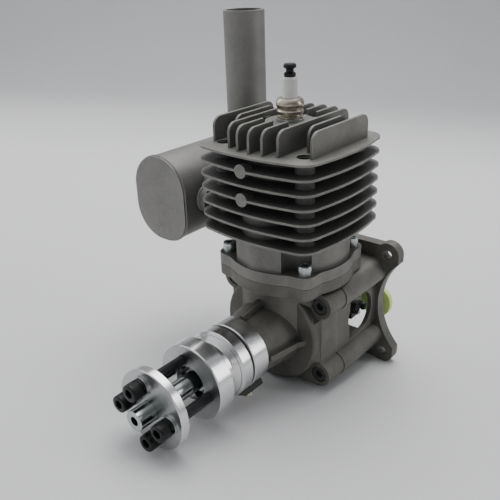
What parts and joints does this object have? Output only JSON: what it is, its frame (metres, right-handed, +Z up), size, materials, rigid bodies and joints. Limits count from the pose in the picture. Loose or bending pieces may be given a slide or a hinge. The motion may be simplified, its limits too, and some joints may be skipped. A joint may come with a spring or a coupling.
{
  "type": "model aircraft engine",
  "caption": "Single-cylinder two-stroke petrol engine for a model aircraft, with a finned cylinder, side muffler with an upright outlet, propeller hub and rear carburettor box.",
  "frame": {"origin": "centre of the four firewall holes, on the mounting face of the rear plate", "axes": "+Y out of the mounting face towards the firewall, along the crankshaft; +Z up along the cylinder; +X to the side away from the muffler"},
  "size_m": [0.1268, 0.1764, 0.195],
  "materials": {
    "cast_case": "blasted casting, matt",
    "cast_cylinder": "blasted casting, matt",
    "cast_muffler": "blasted casting, matt",
    "machined_aluminium": "turned, bright",
    "black_oxide": "black oxide, satin",
    "zinc_plate": "zinc plated",
    "bearing_steel": "ground steel",
    "plug_nickel": "nickel plated",
    "plug_ceramic": "glazed",
    "terminal_black": "satin black",
    "gasket_paper": "pressed gasket",
    "black_rubber": "matt",
    "black_plastic": "moulded",
    "brass": "satin",
    "zinc_alloy": "die cast",
    "lime_plastic": "soft plastic",
    "reed_fibre": "fibre laminate",
    "piston_alloy": "turned",
    "forged_steel": "forged"
  },
  "bodies": {
    "root": {"front_crankcase": "cast_case", "rear_crankcase": "cast_case", "case_screws": "black_oxide", "crankcase_gasket": "gasket_paper", "cylinder_gasket": "gasket_paper", "finned_cylinder": "cast_cylinder", "barrel_fins": "cast_cylinder", "head_fins": "cast_cylinder", "cylinder_screws": "zinc_plate", "plug_washer": "zinc_plate", "plug_shell": "plug_nickel", "plug_insulator": "plug_ceramic", "plug_terminal": "terminal_black", "exhaust_gasket": "gasket_paper", "muffler_flange": "cast_muffler", "muffler_can": "cast_muffler", "muffler_front_cap": "cast_muffler", "muffler_rear_cap": "cast_muffler", "muffler_stack": "cast_muffler", "muffler_screws": "zinc_plate", "sensor_collar": "machined_aluminium", "dust_ring": "black_rubber", "hall_sensor": "black_plastic", "sensor_screw": "brass", "outer_races": "bearing_steel", "oil_seal": "black_rubber", "reed_plate": "bearing_steel", "reed_petals": "reed_fibre", "insulator_block": "black_plastic", "carburettor_body": "zinc_alloy", "pump_cover": "terminal_black", "metering_cover": "terminal_black", "cover_screws": "zinc_plate", "carburettor_screws": "zinc_plate", "fuel_nipple": "brass", "mixture_needles": "brass", "air_horn_cap": "lime_plastic"},
    "crank": {"crankshaft": "bearing_steel", "inner_races": "bearing_steel", "hub_key": "bearing_steel", "prop_hub": "machined_aluminium", "hub_magnet": "bearing_steel", "prop_stud": "zinc_plate", "prop_washer": "machined_aluminium", "prop_flat_washers": "zinc_plate", "prop_spring_washers": "black_oxide", "prop_screws": "black_oxide"},
    "front_balls": {"front_ball_cage": "bearing_steel"},
    "rear_balls": {"rear_ball_cage": "bearing_steel"},
    "piston": {"piston": "piston_alloy", "piston_rings": "bearing_steel", "wrist_pin": "bearing_steel", "pin_circlips": "bearing_steel"},
    "rod": {"connecting_rod": "forged_steel", "small_end_bearing": "brass", "crankpin": "bearing_steel", "crankpin_needles": "bearing_steel"},
    "throttle": {"throttle_valve": "bearing_steel", "throttle_lever": "terminal_black"},
    "choke": {"choke_valve": "bearing_steel"}
  },
  "joints": [
    {"name": "crank_spin", "type": "hinge", "parent": "root", "child": "crank", "pos_m": [0, -0.046, 0], "axis": [0, 1, 0], "continuous": true},
    {"name": "front_balls_roll", "type": "hinge", "parent": "root", "child": "front_balls", "pos_m": [0, -0.0955, 0], "axis": [0, 1, 0], "continuous": true},
    {"name": "rear_balls_roll", "type": "hinge", "parent": "root", "child": "rear_balls", "pos_m": [0, -0.067, 0], "axis": [0, 1, 0], "continuous": true},
    {"name": "piston_stroke", "type": "slide", "parent": "root", "child": "piston", "axis": [0, 0, 1], "range_m": [-0.028, 0]},
    {"name": "rod_swing", "type": "hinge", "parent": "piston", "child": "rod", "pos_m": [0, -0.046, 0.066], "axis": [0, 1, 0], "range_deg": [-15.6, 15.6]},
    {"name": "throttle_turn", "type": "hinge", "parent": "root", "child": "throttle", "pos_m": [0.0015, -0.013, -0.0035], "axis": [1, 0, 0], "range_deg": [0, 75]},
    {"name": "choke_turn", "type": "hinge", "parent": "root", "child": "choke", "pos_m": [0.0015, 0.001, -0.0035], "axis": [1, 0, 0], "range_deg": [0, 75]}
  ],
  "couplings": [
    {"joint": "front_balls_roll", "follows": "crank_spin", "ratio": 0.4194},
    {"joint": "rear_balls_roll", "follows": "crank_spin", "ratio": 0.3979}
  ]
}
